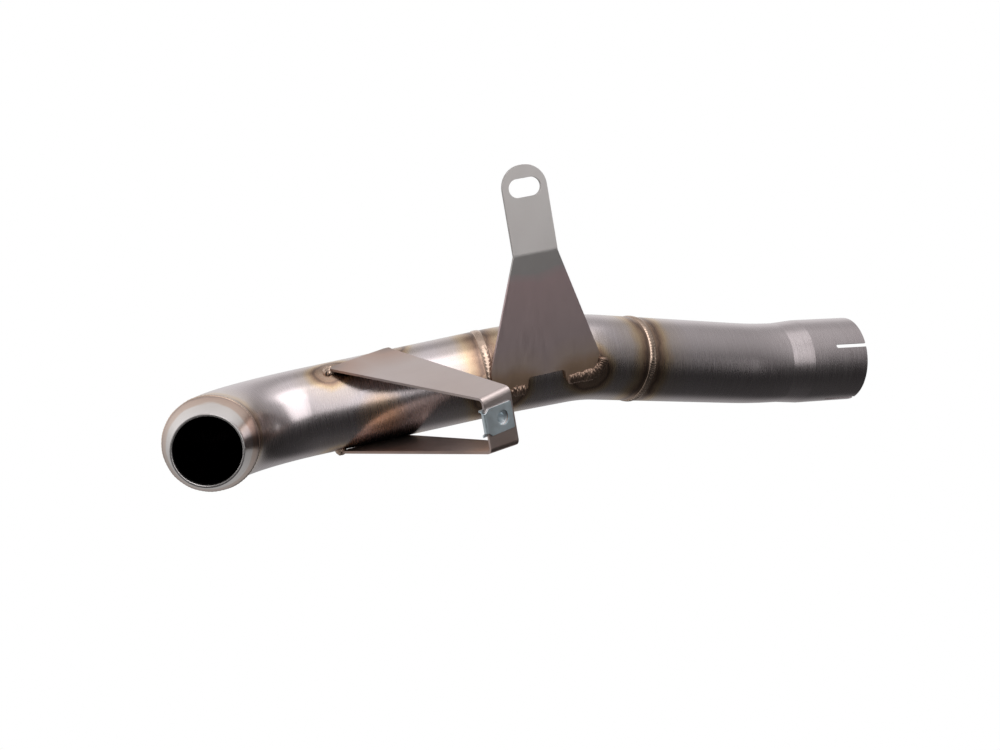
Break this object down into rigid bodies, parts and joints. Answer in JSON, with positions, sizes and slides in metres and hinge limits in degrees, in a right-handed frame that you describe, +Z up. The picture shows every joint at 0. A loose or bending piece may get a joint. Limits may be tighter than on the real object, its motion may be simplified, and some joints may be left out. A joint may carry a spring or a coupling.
{
  "type": "motorcycle link pipe",
  "caption": "Bent stainless tube that joins a header to a silencer, with a reduced inlet, a slotted slip socket, a hanger plate and a U bracket with a clip nut",
  "frame": {"origin": "centre of the outlet socket's mouth", "axes": "+X leaves the outlet along the socket's axis, +Z is up as the pipe hangs on the motorcycle, and the camera of the picture is on the -Y side"},
  "size_m": [0.4563, 0.1494, 0.1728],
  "materials": {
    "tube_steel": "brushed stainless tube with heat tint beside the welds",
    "collar_steel": "brushed stainless, brown tint at the weld",
    "weld_metal": "rippled bead, straw to brown tint",
    "hanger_steel": "plain satin sheet, brown tint at the feet",
    "bracket_steel": "plain satin sheet with brown tint at the tips",
    "zinc_steel": "bright zinc plate"
  },
  "bodies": {
    "root": {"inlet_collar": "collar_steel", "inlet_weld": "weld_metal", "front_tube": "tube_steel", "front_weld": "weld_metal", "middle_tube": "tube_steel", "rear_weld": "weld_metal", "tail_tube": "tube_steel", "hanger_plate": "hanger_steel", "hanger_left_weld": "weld_metal", "hanger_right_weld": "weld_metal", "fairing_bracket": "bracket_steel", "upper_tip_weld": "weld_metal", "upper_back_weld": "weld_metal", "lower_tip_weld": "weld_metal", "lower_back_weld": "weld_metal", "clip_nut": "zinc_steel", "clip_barrel": "zinc_steel"}
  },
  "joints": []
}
